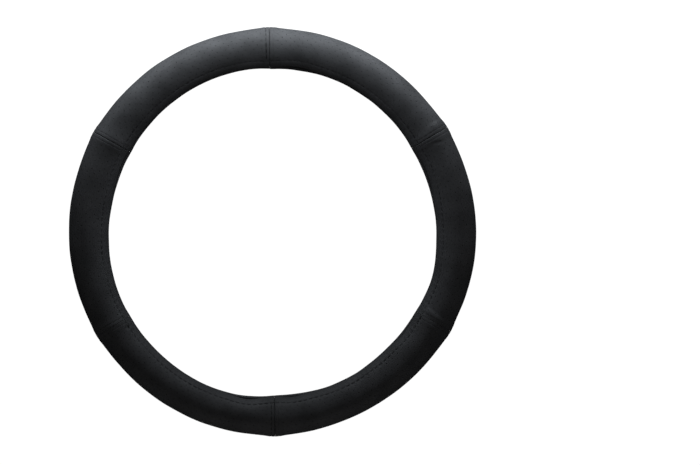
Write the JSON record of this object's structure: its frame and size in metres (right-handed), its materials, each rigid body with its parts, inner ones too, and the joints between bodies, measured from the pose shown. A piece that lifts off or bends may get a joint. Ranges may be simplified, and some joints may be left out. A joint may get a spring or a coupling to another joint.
{
  "type": "steering wheel cover",
  "caption": "Slip-on steering wheel cover: a sewn leather jacket in panels over a moulded rubber ring of C section, open towards the wheel's centre.",
  "frame": {"origin": "centre of the bounding box's bottom face: under the ring's centre, at the height that it rests on", "axes": "+Z is the ring's axis, up to the front of the cover; +Y points to the top of the steering wheel"},
  "size_m": [0.3792, 0.3822, 0.0378],
  "materials": {
    "leather": "black perforated leather, soft sheen, fine grain",
    "rubber": "moulded black rubber, matt",
    "thread": "black polyester sewing thread"
  },
  "bodies": {
    "root": {"rubber_ring": "rubber", "leather_panel_upper_left": "leather", "leather_panel_left": "leather", "leather_panel_lower_left": "leather", "leather_panel_lower_right": "leather", "leather_panel_right": "leather", "leather_panel_upper_right": "leather", "front_lip_thread": "thread", "back_lip_thread": "thread", "top_seam_topstitch_1": "thread", "top_seam_topstitch_2": "thread", "top_seam_joining_thread": "thread", "upper_left_seam_topstitch_1": "thread", "upper_left_seam_topstitch_2": "thread", "upper_left_seam_joining_thread": "thread", "lower_left_seam_topstitch_1": "thread", "lower_left_seam_topstitch_2": "thread", "lower_left_seam_joining_thread": "thread", "bottom_seam_topstitch_1": "thread", "bottom_seam_topstitch_2": "thread", "bottom_seam_joining_thread": "thread", "lower_right_seam_topstitch_1": "thread", "lower_right_seam_topstitch_2": "thread", "lower_right_seam_joining_thread": "thread", "upper_right_seam_topstitch_1": "thread", "upper_right_seam_topstitch_2": "thread", "upper_right_seam_joining_thread": "thread"}
  },
  "joints": []
}
